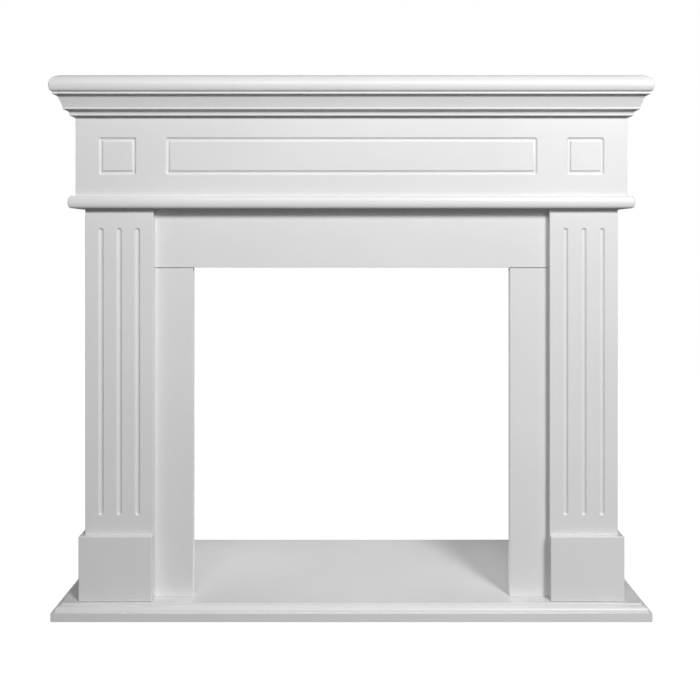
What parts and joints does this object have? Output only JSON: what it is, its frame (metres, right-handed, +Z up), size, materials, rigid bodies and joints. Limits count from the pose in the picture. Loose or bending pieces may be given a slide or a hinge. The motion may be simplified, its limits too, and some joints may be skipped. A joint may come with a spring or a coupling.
{
  "type": "fireplace mantelpiece",
  "caption": "Free-standing fireplace surround of white painted board: fluted legs on plinths, panelled frieze, cornice and mantel shelf around an open firebox, on a moulded hearth.",
  "frame": {"origin": "on the floor, under the middle of the mantelpiece's overall box", "axes": "+Z up, +X along the shelf towards the right as seen from the front, the front faces -Y"},
  "size_m": [1.16, 0.38, 1.054],
  "materials": {
    "white_paint": "satin white paint on smooth board"
  },
  "bodies": {
    "root": {"hearth_slab": "white_paint", "pilaster_left": "white_paint", "leg_outer_side_left": "white_paint", "leg_inner_side_left": "white_paint", "plinth_front_left": "white_paint", "plinth_side_left": "white_paint", "pilaster_right": "white_paint", "leg_outer_side_right": "white_paint", "leg_inner_side_right": "white_paint", "plinth_front_right": "white_paint", "plinth_side_right": "white_paint", "stile_left": "white_paint", "stile_right": "white_paint", "lintel": "white_paint", "header_base_board": "white_paint", "frieze_board": "white_paint", "frieze_end_left": "white_paint", "frieze_end_right": "white_paint", "cornice_front": "white_paint", "cornice_left": "white_paint", "cornice_right": "white_paint", "mantel_shelf": "white_paint"}
  },
  "joints": []
}
